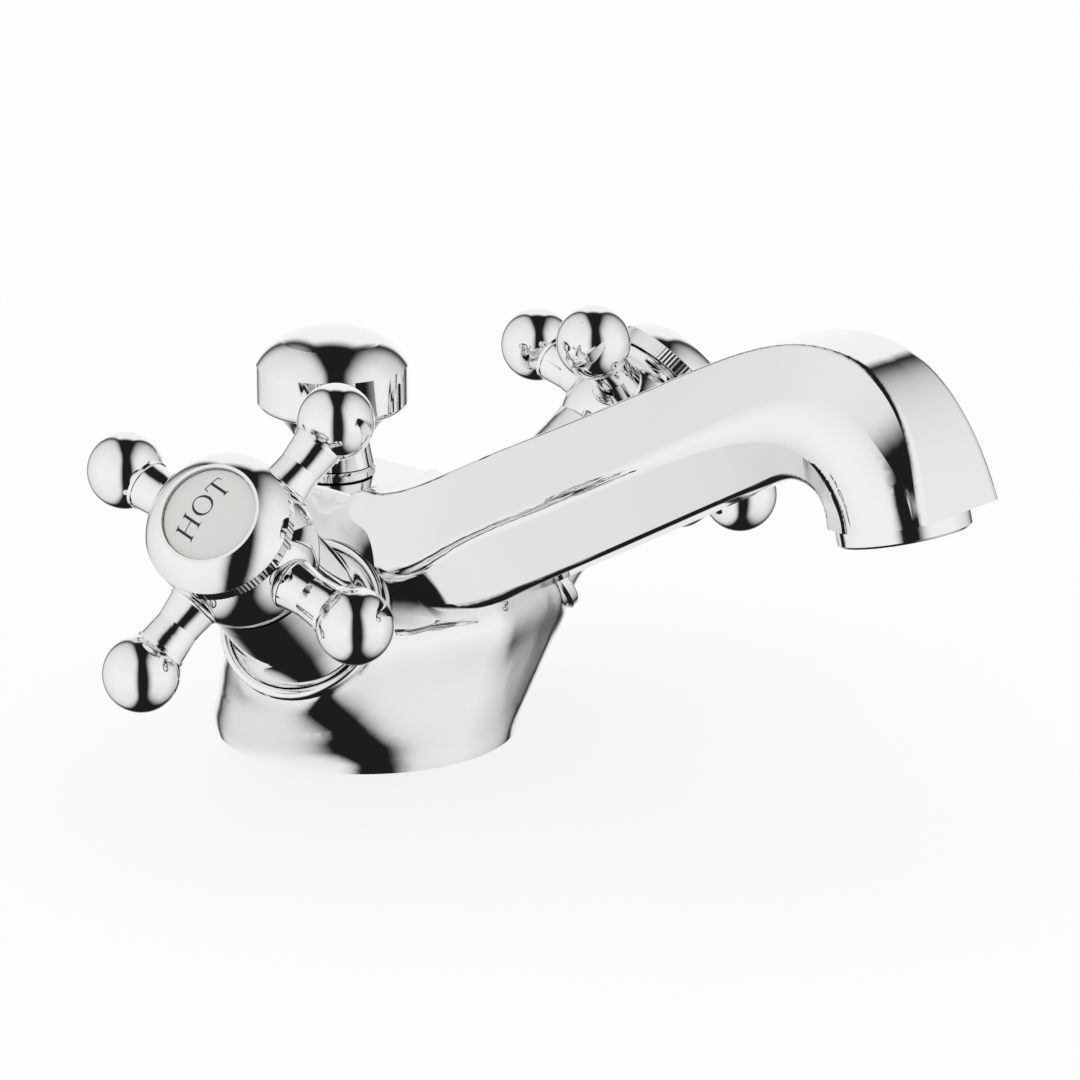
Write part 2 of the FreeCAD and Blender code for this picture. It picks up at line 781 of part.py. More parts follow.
def handle_hub():
    """Bulb on a short foot, with a collar and spigot for the index cap."""
    foot_drop = hub_centre_h - hub_foot_h
    low_r = math.sqrt(hub_r ** 2 - foot_drop ** 2)
    bead_mid = hub_collar_h + hub_collar_w / 2
    bead_in_r = hub_collar_r - hub_collar_w / 3
    shoulder_r = bead_in_r - hub_collar_w
    solid = turned([
        (0, hub_foot_h), (low_r, hub_foot_h), (hub_r, hub_centre_h, shoulder_r, hub_collar_h - hub_collar_w),
        (bead_in_r, hub_collar_h), (hub_collar_r, bead_mid, bead_in_r, hub_collar_h + hub_collar_w),
        (spigot_r, hub_collar_h + hub_collar_w), (spigot_r, cap_low_h + spigot_h), (0, cap_low_h + spigot_h),
    ])
    solid = solid.cut([
        cylinder(hub_skirt_r, hub_foot_h - OVERRUN, hub_skirt_top_h),
        cylinder(spindle_stem_r + RUNNING, hub_foot_h, hub_web_low_h),
        cylinder(screw_hole_r, hub_web_low_h - OVERRUN, hub_web_h + OVERRUN),
        cylinder(screw_well_r, hub_web_h, cap_low_h + spigot_h + OVERRUN),
    ])
    for angle in arm_angles():
        seat = cylinder(arm_flare_r + RUNNING, arm_seat_out, hub_r + OVERRUN)
        thread = cylinder(arm_stud_r + RUNNING, arm_seat_out - arm_stud_l - RUNNING, arm_seat_out + OVERRUN)
        solid = solid.cut([on_arm(seat, angle), on_arm(thread, angle)])
    return solid


def handle_screw():
    head_low = hub_web_h
    low = spindle_top_h - screw_thread_depth + RUNNING
    solid = cylinder(screw_shank_r, low, head_low + OVERRUN / 2).fuse(
        cylinder(screw_head_r, head_low, head_low + screw_head_h))
    slot = Part.makeBox(4 * screw_head_r, screw_slot_w, screw_slot_h + OVERRUN,
                        Vector(-2 * screw_head_r, -screw_slot_w / 2, head_low + screw_head_h - screw_slot_h))
    return solid.cut(slot)


def index_cap():
    """Knurled ring and dome that screws on over the hub's spigot."""
    band_top = cap_low_h + cap_band_h
    rise = cap_top_h - band_top
    dome_foot_r = cap_band_r - knurl_depth
    mid_r = cap_dome_r + (dome_foot_r - cap_dome_r) * cap_shoulder_r_share
    mid_h = band_top + rise * cap_shoulder_h_share
    dome = turned([
        (0, cap_low_h), (dome_foot_r - knurl_depth, cap_low_h), (dome_foot_r - knurl_depth, band_top),
        (dome_foot_r, band_top), (mid_r, mid_h, cap_dome_r, cap_top_h), (0, cap_top_h),
    ])
    edge = knurl_depth
    knurl = star_prism(cap_band_r, cap_band_r - knurl_depth, knurl_count, cap_low_h + edge, band_top - edge)
    solid = dome.fuse(knurl)
    ceiling = cap_low_h + spigot_h + RUNNING
    floor = cap_top_h - index_recess - index_h
    return solid.cut([
        cylinder(spigot_r + RUNNING, cap_low_h - OVERRUN, ceiling),
        cylinder(index_r + RUNNING, floor, cap_top_h + OVERRUN),
    ])


def index_disc():
    top = cap_top_h - index_recess
    return turned([
        (0, top - index_h), (index_r, top - index_h), (index_r, top - index_edge),
        (index_r - index_edge, top), (0, top),
    ])


def guide_bush():
    solid = cylinder(bush_sleeve_r - RUNNING, plateau_z - bush_sleeve_h, plateau_z)
    solid = solid.fuse(turned([
        (0, plateau_z), (bush_flange_r, plateau_z), (bush_flange_r, plateau_z + bush_flange_h / 2),
        (bush_flange_r - bush_flange_h / 2, plateau_z + bush_flange_h), (0, plateau_z + bush_flange_h),
    ]))
    groove_low = plateau_z - (bush_sleeve_h + bush_groove_h) / 2
    solid = solid.cut([
        cylinder(rod_r + RUNNING, plateau_z - bush_sleeve_h - OVERRUN, plateau_z + bush_flange_h + OVERRUN),
        tube(bush_groove_r, rod_r, groove_low, groove_low + bush_groove_h),
    ])
    solid.translate(Vector(0, knob_y, 0))
    return solid


def rod_seal():
    ring = ring_at(rod_r + RUNNING + rod_seal_tube_r, rod_seal_tube_r, plateau_z - bush_sleeve_h / 2)
    ring.translate(Vector(0, knob_y, 0))
    return ring


def knob_low():
    return plateau_z + bush_flange_h + knob_gap


def waste_knob():
    """Mushroom knob: flared foot, neck, curved underside, upright band and dome."""
    low = knob_low()
    neck_z = low + knob_neck_h
    under_z = low + knob_under_h
    band_low = low + knob_band_low_h
    band_top = low + knob_band_top_h
    foot_mid_r = knob_neck_r + (knob_foot_r - knob_neck_r) * knob_sag_r_share
    sag_r = knob_neck_r + (knob_under_r - knob_neck_r) * knob_sag_r_share
    sag_z = neck_z + (under_z - neck_z) * knob_sag_h_share
    round_r = knob_under_r + (knob_band_r - knob_under_r) * knob_round_r_share
    round_z = under_z + (band_low - under_z) * knob_round_h_share
    sphere_r = (knob_shoulder_r ** 2 + knob_cap_h ** 2) / (2 * knob_cap_h)
    dome_r = knob_shoulder_r / 2
    dome_top = band_top + knob_dome_h
    dome_z = dome_top - sphere_r + math.sqrt(sphere_r ** 2 - dome_r ** 2)
    bulge = knob_shoulder_bulge * math.sqrt(0.5)
    shoulder_mid = ((knob_band_r + knob_shoulder_r) / 2 + bulge, band_top + knob_shoulder_h / 2 + bulge)
    shoulder_end = (knob_shoulder_r, band_top + knob_shoulder_h)
    solid = turned([
        (0, low), (knob_foot_r, low), (foot_mid_r, low + knob_neck_h / 2, knob_neck_r, neck_z),
        (sag_r, sag_z, knob_under_r, under_z), (round_r, round_z, knob_band_r, band_low),
        (knob_band_r, band_top), shoulder_mid + shoulder_end, (dome_r, dome_z, 0, dome_top),
    ])
    solid = solid.cut(cylinder(knob_hollow_r, low - OVERRUN, low + knob_hollow_depth))
    solid.translate(Vector(0, knob_y, 0))
    return solid


def lift_rod():
    solid = cylinder(rod_r, rod_low_z, knob_low() + knob_hollow_depth - RUNNING)
    solid = solid.cut(cylinder(rod_thread_r, rod_low_z - OVERRUN, rod_low_z + rod_thread_h))
    solid.translate(Vector(0, knob_y, 0))
    return solid


def aerator_housing():
    thread_r = socket_r - RUNNING
    edge = collar_h / 8
    solid = turned([
        (0, -collar_h), (collar_r - edge, -collar_h), (collar_r, edge - collar_h), (collar_r, 0),
        (thread_r, 0), (thread_r, aerator_thread_h), (0, aerator_thread_h),
    ])
    solid = solid.cut([
        cylinder(aerator_ledge_r, -collar_h - OVERRUN, aerator_thread_h),
        cylinder(aerator_bore_r, aerator_ledge_h - collar_h, aerator_thread_h + OVERRUN),
    ])
    return on_outlet(solid)


def grid_places(pitch, reach):
    steps = int(reach / pitch)
    places = []
    for column in range(-steps, steps + 1):
        for row in range(-steps, steps + 1):
            if math.hypot(column * pitch, row * pitch) <= reach:
                places.append((column * pitch, row * pitch))
    return places


def aerator_insert():
    """Plastic flow straightener with a field of round holes."""
    low = aerator_ledge_h - collar_h + mesh_h + RUNNING
    body_r = aerator_bore_r - RUNNING
    solid = cylinder(body_r, low, aerator_thread_h)
    holes = []
    for x, y in grid_places(insert_pitch, body_r - insert_hole_r - insert_pitch / 3):
        hole = cylinder(insert_hole_r, low - OVERRUN, aerator_thread_h + OVERRUN)
        hole.translate(Vector(x, y, 0))
        holes.append(hole)
    return on_outlet(solid.cut(holes))


def aerator_mesh():
    """Woven screen as a holed disc, seated on the housing's ledge."""
    low = aerator_ledge_h - collar_h
    body_r = aerator_bore_r - RUNNING
    solid = cylinder(body_r, low, low + mesh_h)
    hole = mesh_pitch - mesh_bar_w
    holes = []
    for x, y in grid_places(mesh_pitch, body_r - mesh_pitch):
        corner = Vector(x - hole / 2, y - hole / 2, low - OVERRUN)
        holes.append(Part.makeBox(hole, hole, mesh_h + 2 * OVERRUN, corner))
    return on_outlet(solid.cut(holes))


def aerator_gasket():
    return on_outlet(tube(socket_r - RUNNING, gasket_ring_in_r, aerator_thread_h + RUNNING, socket_h))


def side_pieces():
    """Pieces of the hot side, each made about Z and laid on the handle's axis."""
    pieces = {
        "shroud": shroud(),
        "headwork_body": headwork_body(),
        "headwork_washer": fibre_washer(),
        "seat_seal": seat_seal(),
        "fixed_disc": ceramic_disc(fixed_disc_low(), False),
        "moving_disc": ceramic_disc(moving_disc_low(), True),
        "spindle": spindle(),
        "spindle_seals": spindle_seals(),
        "circlip": circlip(),
        "handle_hub": handle_hub(),
        "handle_screw": handle_screw(),
        "index_cap": index_cap(),
        "index_disc": index_disc(),
    }
    for index, angle in enumerate(arm_angles()):
        pieces["ball_arm_%d" % (index + 1)] = on_arm(ball_arm(), angle)
    return {name: on_handle(shape) for name, shape in pieces.items()}


def all_pieces():
    pieces = {
        "body_casting": body_casting(),
        "base_gasket": base_gasket(),
        "rod_guide_bush": guide_bush(),
        "rod_seal": rod_seal(),
        "waste_knob": waste_knob(),
        "lift_rod": lift_rod(),
        "aerator_housing": aerator_housing(),
        "aerator_insert": aerator_insert(),
        "aerator_mesh": aerator_mesh(),
        "aerator_gasket": aerator_gasket(),
    }
    for name, shape in side_pieces().items():
        pieces["hot_" + name] = shape
        pieces["cold_" + name] = mirrored(shape)
    return pieces


os.makedirs("parts", exist_ok=True)
for node, shape in all_pieces().items():
    shape.exportStep("parts/%s.step" % node)
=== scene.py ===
# Basin mixer tap with ball-ended cross handles: finishes, index lettering and studio
import math

import bpy
from mathutils import Matrix, Vector


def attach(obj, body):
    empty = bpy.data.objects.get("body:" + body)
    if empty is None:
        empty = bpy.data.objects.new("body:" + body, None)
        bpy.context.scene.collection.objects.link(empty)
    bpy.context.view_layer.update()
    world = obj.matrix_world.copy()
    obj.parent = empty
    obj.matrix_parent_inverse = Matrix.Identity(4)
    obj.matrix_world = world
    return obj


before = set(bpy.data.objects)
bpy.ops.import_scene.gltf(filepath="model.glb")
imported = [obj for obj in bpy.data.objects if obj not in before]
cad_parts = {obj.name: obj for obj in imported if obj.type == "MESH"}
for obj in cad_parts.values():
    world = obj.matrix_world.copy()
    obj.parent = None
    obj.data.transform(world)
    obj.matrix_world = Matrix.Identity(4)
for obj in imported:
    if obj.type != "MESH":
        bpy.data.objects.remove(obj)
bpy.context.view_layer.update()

bl_info = {
    "name": "Basin mixer tap",
    "version": (1, 0, 0),
    "blender": (4, 5, 0),
    "location": "3D View > Sidebar > Tap",
    "description": "Finishes, index lettering and studio for a basin mixer tap with cross handles",
    "category": "Object",
}

MM = 0.001
TURNED_CHROME = ["waste_knob", "rod_guide_bush", "aerator_housing"]
SIDE_CHROME = ["shroud", "handle_hub", "index_cap",
               "ball_arm_1", "ball_arm_2", "ball_arm_3", "ball_arm_4"]
SIDE_BRASS = ["headwork_body", "spindle"]
SIDE_STEEL = ["circlip", "handle_screw"]
SIDE_RUBBER = ["headwork_washer", "seat_seal", "spindle_seals"]
SIDE_CERAMIC = ["fixed_disc", "moving_disc"]


class TapFinish(bpy.types.PropertyGroup):
    """Colours and polish of the tap's surfaces"""
    chrome: bpy.props.FloatVectorProperty(
        name="Chrome", description="Colour of the chrome plate", subtype="COLOR",
        default=(0.872, 0.872, 0.874), min=0, max=1)
    chrome_roughness: bpy.props.FloatProperty(
        name="Chrome roughness", description="Roughness of the mirror polish", default=0.025, min=0, max=1)
    brass: bpy.props.FloatVectorProperty(
        name="Brass", description="Colour of the machined brass", subtype="COLOR",
        default=(0.80, 0.62, 0.33), min=0, max=1)
    steel: bpy.props.FloatVectorProperty(
        name="Steel", description="Colour of the stainless steel", subtype="COLOR",
        default=(0.62, 0.62, 0.63), min=0, max=1)
    rubber: bpy.props.FloatVectorProperty(
        name="Rubber", description="Colour of the seals and gaskets", subtype="COLOR",
        default=(0.03, 0.03, 0.03), min=0, max=1)
    ceramic: bpy.props.FloatVectorProperty(
        name="Ceramic", description="Colour of the valve discs", subtype="COLOR",
        default=(0.90, 0.89, 0.86), min=0, max=1)
    plastic: bpy.props.FloatVectorProperty(
        name="Plastic", description="Colour of the flow insert", subtype="COLOR",
        default=(0.85, 0.85, 0.84), min=0, max=1)
    index_plate: bpy.props.FloatVectorProperty(
        name="Index plate", description="Colour of the satin index plates", subtype="COLOR",
        default=(0.69, 0.68, 0.66), min=0, max=1)
    lettering: bpy.props.FloatVectorProperty(
        name="Lettering", description="Colour of the letters' filling", subtype="COLOR",
        default=(0.008, 0.008, 0.008), min=0, max=1)


class TapLettering(bpy.types.PropertyGroup):
    """Sizes of the words on the index plates, and where they lie"""
    cap_height: bpy.props.FloatProperty(
        name="Capital height", description="Height of a capital", default=3.78 * MM, unit="LENGTH")
    stem: bpy.props.FloatProperty(
        name="Stem", description="Width of a thick stroke", default=0.50 * MM, unit="LENGTH")
    hairline: bpy.props.FloatProperty(
        name="Hairline", description="Width of a thin stroke", default=0.17 * MM, unit="LENGTH")
    serif: bpy.props.FloatProperty(
        name="Serif", description="Full width of a serif", default=1.40 * MM, unit="LENGTH")
    serif_height: bpy.props.FloatProperty(
        name="Serif height", description="Height of a serif with its bracket",
        default=0.34 * MM, unit="LENGTH")
    round_width: bpy.props.FloatProperty(
        name="Round width", description="Width of a round letter", default=3.95 * MM, unit="LENGTH")
    arch_rise: bpy.props.FloatProperty(
        name="Arch rise", description="Height of the middle of the word over the plate's centre line",
        default=0.55 * MM, unit="LENGTH")
    arch_centre: bpy.props.FloatProperty(
        name="Arch centre", description="Place of the arch's crown along the word",
        default=0.30 * MM, unit="LENGTH")
    arch_curve: bpy.props.FloatProperty(
        name="Arch curve", description="Fall of the arch for each millimetre squared from its crown",
        default=0.0243)
    reading_angle: bpy.props.FloatProperty(
        name="Reading angle", description="Way the word runs on the plate", default=math.radians(65.5),
        subtype="ANGLE")
    inlay: bpy.props.FloatProperty(
        name="Inlay", description="How far the filling stands over the plate",
        default=0.02 * MM, unit="LENGTH")


class TapStudio(bpy.types.PropertyGroup):
    """Camera, floor and the light round the tap"""
    camera_at: bpy.props.FloatVectorProperty(
        name="Camera place", description="Where the camera stands", subtype="TRANSLATION",
        default=(-0.8276, -0.7860, 0.4000))
    aim: bpy.props.FloatVectorProperty(
        name="Aim", description="Point that the camera looks at", subtype="TRANSLATION",
        default=(0.0, -0.04388, 0.04571))
    lens: bpy.props.FloatProperty(
        name="Lens", description="Focal length in millimetres on a 36 mm frame", default=213.46)
    floor_size: bpy.props.FloatProperty(
        name="Floor", description="Side of the floor", default=12.0, unit="LENGTH")
    floor_tone: bpy.props.FloatProperty(
        name="Floor tone", description="Paleness of the floor", default=0.95, min=0, max=1)
    dark_tone: bpy.props.FloatProperty(
        name="Dark tone", description="Level between the light panels", default=0.014, min=0, max=1)


# Placing of the handles, as the tap is built
HANDLE_RISE = math.radians(38.9)
HANDLE_TOE = math.radians(19.1)
AXIS_ROOT = Vector((0, -1.55, 6.0)) * MM
PLATE_HEIGHT = 88.45 * MM


def handle_frame(side):
    """Across, along and out directions of a handle, for side -1 (hot) or 1 (cold)."""
    out = Vector((-math.cos(HANDLE_RISE) * math.cos(HANDLE_TOE),
                  -math.cos(HANDLE_RISE) * math.sin(HANDLE_TOE), math.sin(HANDLE_RISE)))
    across = Vector((math.sin(HANDLE_TOE), -math.cos(HANDLE_TOE), 0))
    along = out.cross(across)
    if side > 0:
        mirror = Matrix.Scale(-1, 3, (1, 0, 0))
        across, along, out = mirror @ across, mirror @ along, mirror @ out
    return across, along, out


# Shared shader groups
def new_group(name, inputs, outputs):
    """Empty shader group with its sockets, and its input and output nodes."""
    group = bpy.data.node_groups.new(name, "ShaderNodeTree")
    for label, kind, value in inputs:
        socket = group.interface.new_socket(label, in_out="INPUT", socket_type=kind)
        if value is not None:
            socket.default_value = value
    for label, kind in outputs:
        group.interface.new_socket(label, in_out="OUTPUT", socket_type=kind)
    return group, group.nodes.new("NodeGroupInput"), group.nodes.new("NodeGroupOutput")


HAZE_NAME = "surface haze"
HAZE_DETAIL = 4
GRAIN_DETAIL = 3
GRAIN_STRENGTH = 0.4


def surface_haze():
    """Slow, faint changes of tone and polish over a surface."""
    group, given, out = new_group(HAZE_NAME, [
        ("Vector", "NodeSocketVector", None), ("Scale", "NodeSocketFloat", 60.0),
        ("Color", "NodeSocketColor", (0.8, 0.8, 0.8, 1)), ("Tone change", "NodeSocketFloat", 0.01),
        ("Roughness", "NodeSocketFloat", 0.03), ("Roughness change", "NodeSocketFloat", 0.01),
    ], [("Color", "NodeSocketColor"), ("Roughness", "NodeSocketFloat")])
    nodes, links = group.nodes, group.links
    noise = nodes.new("ShaderNodeTexNoise")
    noise.inputs["Detail"].default_value = HAZE_DETAIL
    links.new(given.outputs["Vector"], noise.inputs["Vector"])
    links.new(given.outputs["Scale"], noise.inputs["Scale"])
    centred = nodes.new("ShaderNodeMath")
    centred.operation = "SUBTRACT"
    centred.inputs[1].default_value = 0.5
    links.new(noise.outputs["Fac"], centred.inputs[0])
    tone = nodes.new("ShaderNodeMath")
    tone.operation = "MULTIPLY_ADD"
    tone.inputs[2].default_value = 1.0
    links.new(centred.outputs[0], tone.inputs[0])
    links.new(given.outputs["Tone change"], tone.inputs[1])
    tinted = nodes.new("ShaderNodeVectorMath")
    tinted.operation = "SCALE"
    links.new(given.outputs["Color"], tinted.inputs[0])
    links.new(tone.outputs[0], tinted.inputs["Scale"])
    rough = nodes.new("ShaderNodeMath")
    rough.operation = "MULTIPLY_ADD"
    links.new(noise.outputs["Fac"], rough.inputs[0])
    links.new(given.outputs["Roughness change"], rough.inputs[1])
    links.new(given.outputs["Roughness"], rough.inputs[2])
    links.new(tinted.outputs[0], out.inputs["Color"])
    links.new(rough.outputs[0], out.inputs["Roughness"])
    return group


def haze_group():
    """The haze group, built on its first use."""
    return bpy.data.node_groups.get(HAZE_NAME) or surface_haze()


def finish(name, color, roughness, metallic=0.0, haze_scale=60.0, tone_change=0.01,
           roughness_change=0.01, bump_scale=0.0, bump_depth=0.0):
    """A surface finish with the shared haze, and a fine grain where one is asked for."""
    material = bpy.data.materials.get(name)
    if material:
        return material
    material = bpy.data.materials.new(name)
    material.use_nodes = True
    nodes, links = material.node_tree.nodes, material.node_tree.links
    shader = nodes["Principled BSDF"]
    shader.inputs["Metallic"].default_value = metallic
    place = nodes.new("ShaderNodeTexCoord")
    haze = nodes.new("ShaderNodeGroup")
    haze.node_tree = haze_group()
    haze.inputs["Scale"].default_value = haze_scale
    haze.inputs["Color"].default_value = (*color, 1)
    haze.inputs["Tone change"].default_value = tone_change
    haze.inputs["Roughness"].default_value = roughness
    haze.inputs["Roughness change"].default_value = roughness_change
    links.new(place.outputs["Object"], haze.inputs["Vector"])
    links.new(haze.outputs["Color"], shader.inputs["Base Color"])
    links.new(haze.outputs["Roughness"], shader.inputs["Roughness"])
    if bump_depth:
        grain = nodes.new("ShaderNodeTexNoise")
        grain.inputs["Scale"].default_value = bump_scale
        grain.inputs["Detail"].default_value = GRAIN_DETAIL
        bump = nodes.new("ShaderNodeBump")
        bump.inputs["Strength"].default_value = GRAIN_STRENGTH
        bump.inputs["Distance"].default_value = bump_depth
        links.new(place.outputs["Object"], grain.inputs["Vector"])
        links.new(grain.outputs["Fac"], bump.inputs["Height"])
        links.new(bump.outputs["Normal"], shader.inputs["Normal"])
    return material


def dress(node, material):
    """Give a piece of the tap its only material."""
    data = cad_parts[node].data
    data.materials.clear()
    data.materials.append(material)


def dress_both(names, material):
    """Dress the same pieces of the hot and the cold side."""
    for side in ("hot", "cold"):
        for name in names:
            dress(side + "_" + name, material)


def chrome_finish(settings):
    """The tap's one mirror chrome, shared by all plated pieces."""
    return finish("mirror chrome", settings.chrome, settings.chrome_roughness, metallic=1.0,
                  haze_scale=45.0, tone_change=0.012, roughness_change=0.012)


class TAP_OT_body(bpy.types.Operator):
    """Chrome plate on the body and spout"""
    bl_idname = "tap.body"
    bl_label = "Body and spout"

    def execute(self, context):
        dress("body_casting", chrome_finish(context.scene.tap_finish))
        return {"FINISHED"}


class TAP_OT_turned_parts(bpy.types.Operator):
    """Chrome plate on the waste knob, its bush and the nozzle's collar"""
    bl_idname = "tap.turned_parts"
    bl_label = "Turned parts"

    def execute(self, context):
        for node in TURNED_CHROME:
            dress(node, chrome_finish(context.scene.tap_finish))
        return {"FINISHED"}


class TAP_OT_handles(bpy.types.Operator):
    """Chrome plate on the cross handles and shrouds, and satin on their index plates"""
    bl_idname = "tap.handles"
    bl_label = "Handles"

    def execute(self, context):
        settings = context.scene.tap_finish
        dress_both(SIDE_CHROME, chrome_finish(settings))
        plate = finish(
            "satin index plate", settings.index_plate, roughness=0.34, haze_scale=900.0,
            tone_change=0.02, roughness_change=0.06, bump_scale=9000.0, bump_depth=0.000004)
        dress_both(["index_disc"], plate)
        return {"FINISHED"}


class TAP_OT_inner_works(bpy.types.Operator):
    """Brass, steel, rubber, ceramic and plastic on the pieces inside"""
    bl_idname = "tap.inner_works"
    bl_label = "Inner works"

    def execute(self, context):
        settings = context.scene.tap_finish
        brass = finish(
            "machined brass", settings.brass, roughness=0.22, metallic=1.0, haze_scale=300.0,
            tone_change=0.10, roughness_change=0.12, bump_scale=4000.0, bump_depth=0.00001)
        steel = finish(
            "stainless steel", settings.steel, roughness=0.24, metallic=1.0, haze_scale=400.0,
            tone_change=0.08, roughness_change=0.10, bump_scale=5000.0, bump_depth=0.00001)
        rubber = finish(
            "black rubber", settings.rubber, roughness=0.62, haze_scale=500.0,
            tone_change=0.25, roughness_change=0.15, bump_scale=6000.0, bump_depth=0.00002)
        ceramic = finish(
            "lapped ceramic", settings.ceramic, roughness=0.12, haze_scale=300.0,
            tone_change=0.03, roughness_change=0.05)
        plastic = finish(
            "moulded plastic", settings.plastic, roughness=0.40, haze_scale=400.0,
            tone_change=0.03, roughness_change=0.10, bump_scale=5000.0, bump_depth=0.00001)
        dress_both(SIDE_BRASS, brass)
        dress_both(SIDE_STEEL, steel)
        dress_both(SIDE_RUBBER, rubber)
        dress_both(SIDE_CERAMIC, ceramic)
        for node in ("lift_rod", "aerator_mesh"):
            dress(node, steel)
        for node in ("base_gasket", "rod_seal", "aerator_gasket"):
            dress(node, rubber)
        dress("aerator_insert", plastic)
        return {"FINISHED"}


# Selecting and editing
def clear_selection():
    """Leave edit mode with nothing selected."""
    if bpy.context.object and bpy.context.object.mode != "OBJECT":
        bpy.ops.object.mode_set(mode="OBJECT")
    bpy.ops.object.select_all(action="DESELECT")


def pick_vertices(piece, test):
    """Select a piece's vertices by place, and enter edit mode."""
    bpy.ops.object.mode_set(mode="EDIT")
    bpy.ops.mesh.select_mode(type="VERT")
    bpy.ops.mesh.select_all(action="DESELECT")
    bpy.ops.object.mode_set(mode="OBJECT")
    for vertex in piece.data.vertices:
        vertex.select = test(vertex.co)
    for edge in piece.data.edges:
        edge.select = all(piece.data.vertices[v].select for v in edge.vertices)
    bpy.ops.object.mode_set(mode="EDIT")


# Letters are drawn flat, reading along X with their feet on Y = 0
H_HALF_WIDTH = 1.345 * MM
H_BAR_SHARE = 0.52
T_HALF_WIDTH = 1.36 * MM
C_GAP_SHARE = 0.30
C_ARM_SHARE = 0.27
C_OPEN_SHARE = 1.35
C_TIP_OUT_SHARE = 1.13
C_TIP_W_SHARE = 1.3
C_TIP_H_SHARE = 0.75
L_STEM_LEFT = 1.0 * MM
L_FOOT_RIGHT = 0.35 * MM
L_FOOT_HALF_WIDTH = 1.30 * MM
D_STEM_LEFT = 1.25 * MM
D_BOWL_LEFT = 0.35 * MM
D_CUT_LEFT = 0.45 * MM
D_JOIN_LEFT = 0.85 * MM
D_JOIN_WIDTH = 1.0 * MM
BRACKET_H_SHARE = 0.6
BRACKET_W_SHARE = 0.62
DROOP_OUT_SHARE = 0.8
DROOP_DOWN_SHARE = 0.48
TOUCH_SHARE = 0.1
MERGE_SHARE = 0.02
OVERSHOOT_SHARE = 1 / 3
RING_STEPS = 72


def flat_bar(centre, width, height):
    """Upright rectangle, the start of every straight stroke."""
    clear_selection()
    bpy.ops.mesh.primitive_plane_add(size=1, location=(*centre, 0))
    bar = bpy.context.object
    bar.scale = (width, height, 1)
    bpy.ops.object.transform_apply(location=True, rotation=False, scale=True)
    return bar


def flare_end(bar, centre_x, end_y, way, settings):
    """Draw a stem's end out into a bracketed serif."""
    tiny = settings.hairline * TOUCH_SHARE
    bracket = settings.serif_height * BRACKET_H_SHARE
    slab = settings.serif_height - bracket
    neck = settings.serif * BRACKET_W_SHARE
    for depth, width, before in ((bracket, neck, settings.stem), (slab, settings.serif, neck)):
        pick_vertices(bar, lambda co, y=end_y: abs(co.y - y) < tiny)
        bpy.ops.mesh.extrude_edges_move(TRANSFORM_OT_translate={"value": (0, way * depth, 0)})
        bpy.ops.transform.resize(value=(width / before, 1, 1), center_override=(centre_x, end_y, 0))
        bpy.ops.object.mode_set(mode="OBJECT")
        end_y += way * depth


def stem(centre_x, settings, top_serif=True):
    """Thick upright stroke with a serif at its foot, and one at its head."""
    low = settings.serif_height
    high = settings.cap_height - (settings.serif_height if top_serif else 0)
    bar = flat_bar((centre_x, (low + high) / 2), settings.stem, high - low)
    flare_end(bar, centre_x, low, -1, settings)
    if top_serif:
        flare_end(bar, centre_x, high, 1, settings)
    return [bar]


def round_stroke(centre_x, settings, keep=None):
    """Ring with thick sides and thin top and foot."""
    overshoot = settings.hairline * OVERSHOOT_SHARE
    height = settings.cap_height + 2 * overshoot
    clear_selection()
    bpy.ops.mesh.primitive_circle_add(vertices=RING_STEPS, radius=1, fill_type="NOTHING",
                                      location=(centre_x, settings.cap_height / 2, 0))
    ring = bpy.context.object
    ring.scale = (settings.round_width / 2, height / 2, 1)
    bpy.ops.object.transform_apply(location=True, rotation=False, scale=True)
    pick_vertices(ring, lambda co: True)
    inner_x = (settings.round_width - 2 * settings.stem) / settings.round_width
    inner_y = (height - 2 * settings.hairline) / height
    bpy.ops.mesh.extrude_edges_move()
    bpy.ops.transform.resize(value=(inner_x, inner_y, 1),
                             center_override=(centre_x, settings.cap_height / 2, 0))
    if keep:
        bpy.ops.object.mode_set(mode="OBJECT")
        pick_vertices(ring, lambda co: not keep(co))
        bpy.ops.mesh.delete(type="VERT")
    bpy.ops.object.mode_set(mode="OBJECT")
    return [ring]


def letter_h(x, settings):
    bar = flat_bar((x, settings.cap_height * H_BAR_SHARE), 2 * H_HALF_WIDTH - settings.stem,
                   settings.hairline)
    return stem(x - H_HALF_WIDTH, settings) + stem(x + H_HALF_WIDTH, settings) + [bar]


def letter_o(x, settings):
    return round_stroke(x, settings)


def drooped_bar(x, half, y, way, settings):
    """Thin bar whose ends turn into upright serifs."""
    bar = flat_bar((x, y), 2 * half, settings.hairline)
    tiny = settings.hairline * TOUCH_SHARE
    droop = way * settings.serif * DROOP_DOWN_SHARE
    for sign in (-1, 1):
        tip = x + sign * half
        pick_vertices(bar, lambda co, t=tip: abs(co.x - t) < tiny)
        bpy.ops.mesh.extrude_edges_move(
            TRANSFORM_OT_translate={"value": (sign * settings.hairline, 0, 0)})
        bpy.ops.object.mode_set(mode="OBJECT")
        end = tip + sign * settings.hairline
        side = y + way * settings.hairline / 2
        pick_vertices(bar, lambda co, t=tip, e=end, s=side: (
            (abs(co.x - t) < tiny or abs(co.x - e) < tiny) and abs(co.y - s) < tiny))
        lean = sign * settings.hairline * DROOP_OUT_SHARE
        bpy.ops.mesh.extrude_edges_move(TRANSFORM_OT_translate={"value": (lean, droop, 0)})
        bpy.ops.object.mode_set(mode="OBJECT")
    return bar


def letter_t(x, settings):
    top = settings.cap_height - settings.hairline / 2
    bar = drooped_bar(x, T_HALF_WIDTH, top, -1, settings)
    return stem(x, settings, top_serif=False) + [bar]


